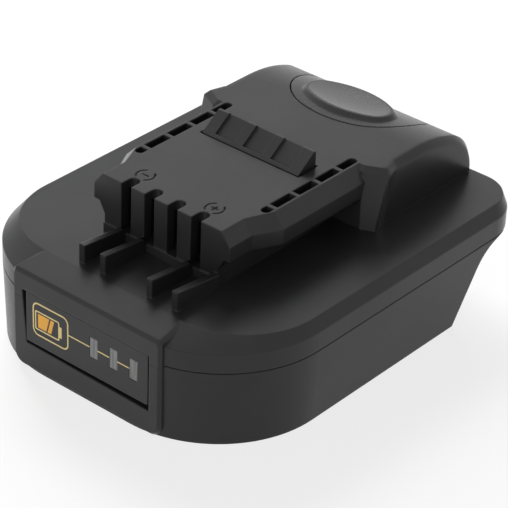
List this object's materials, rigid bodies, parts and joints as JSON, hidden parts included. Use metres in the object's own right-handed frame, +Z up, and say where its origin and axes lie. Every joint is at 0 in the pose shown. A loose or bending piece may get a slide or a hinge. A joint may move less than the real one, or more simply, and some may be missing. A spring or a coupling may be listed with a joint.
{
  "type": "tool battery adapter",
  "caption": "Black slide-on battery adapter with a railed terminal tower, a latch wedge, a round release button and a charge gauge on its front.",
  "frame": {"origin": "on the floor, under the middle of the adapter's outer box", "axes": "+Z up, +Y towards the rear with the release button, +X to the right seen from the front; the front with the charge gauge faces -Y"},
  "size_m": [0.078, 0.096, 0.0408],
  "materials": {
    "housing": "satin black, finely textured",
    "control": "satin black",
    "carrier": "plain black",
    "lens": "milky, slightly see-through",
    "insulator": "plain black",
    "contact": "nickel plated",
    "copper": "bare copper",
    "board": "green solder mask",
    "link": "amber film",
    "lamp": "clear",
    "component": "moulded black",
    "can": "drawn can",
    "spring_steel": "drawn wire",
    "screw_steel": "black zinc"
  },
  "bodies": {
    "housing": {"upper_shell": "housing", "lower_shell": "housing", "contact_block": "insulator", "bay_contact_block": "insulator", "tower_contact_1": "contact", "tower_contact_2": "contact", "tower_contact_3": "contact", "tower_contact_4": "contact", "bay_blade_1": "contact", "bay_blade_2": "contact", "bay_blade_3": "contact", "bay_blade_4": "contact", "bay_blade_5": "contact", "positive_strap": "copper", "negative_strap": "copper", "control_board": "board", "indicator_board": "board", "board_link": "link", "indicator_led_left": "lamp", "indicator_led_middle": "lamp", "indicator_led_right": "lamp", "voltage_regulator": "component", "switch_body": "component", "filter_capacitor": "can", "release_spring_left": "spring_steel", "release_spring_right": "spring_steel", "housing_screws": "screw_steel"},
    "release": {"release_button": "control", "latch_wedge": "control", "latch_carrier": "carrier"},
    "flap": {"gauge_flap": "housing", "light_pipe_left": "lens", "light_pipe_middle": "lens", "light_pipe_right": "lens"},
    "plunger": {"switch_plunger": "component"}
  },
  "joints": [
    {"name": "release_press", "type": "slide", "parent": "housing", "child": "release", "axis": [0, 0, -1], "range_m": [0, 0.004], "stiffness_N_per_m": 1500, "springref_m": -0.002, "deforming": ["release_spring_left", "release_spring_right"]},
    {"name": "flap_press", "type": "hinge", "parent": "housing", "child": "flap", "pos_m": [0, -0.046, 0.0189], "axis": [1, 0, 0], "range_deg": [0, 2.5], "stiffness_Nm_per_rad": 0.5},
    {"name": "plunger_press", "type": "slide", "parent": "housing", "child": "plunger", "axis": [0, 1, 0], "range_m": [0, 0.0003]}
  ],
  "couplings": [
    {"joint": "plunger_press", "follows": "flap_press", "m_per_rad": 0.0055}
  ]
}
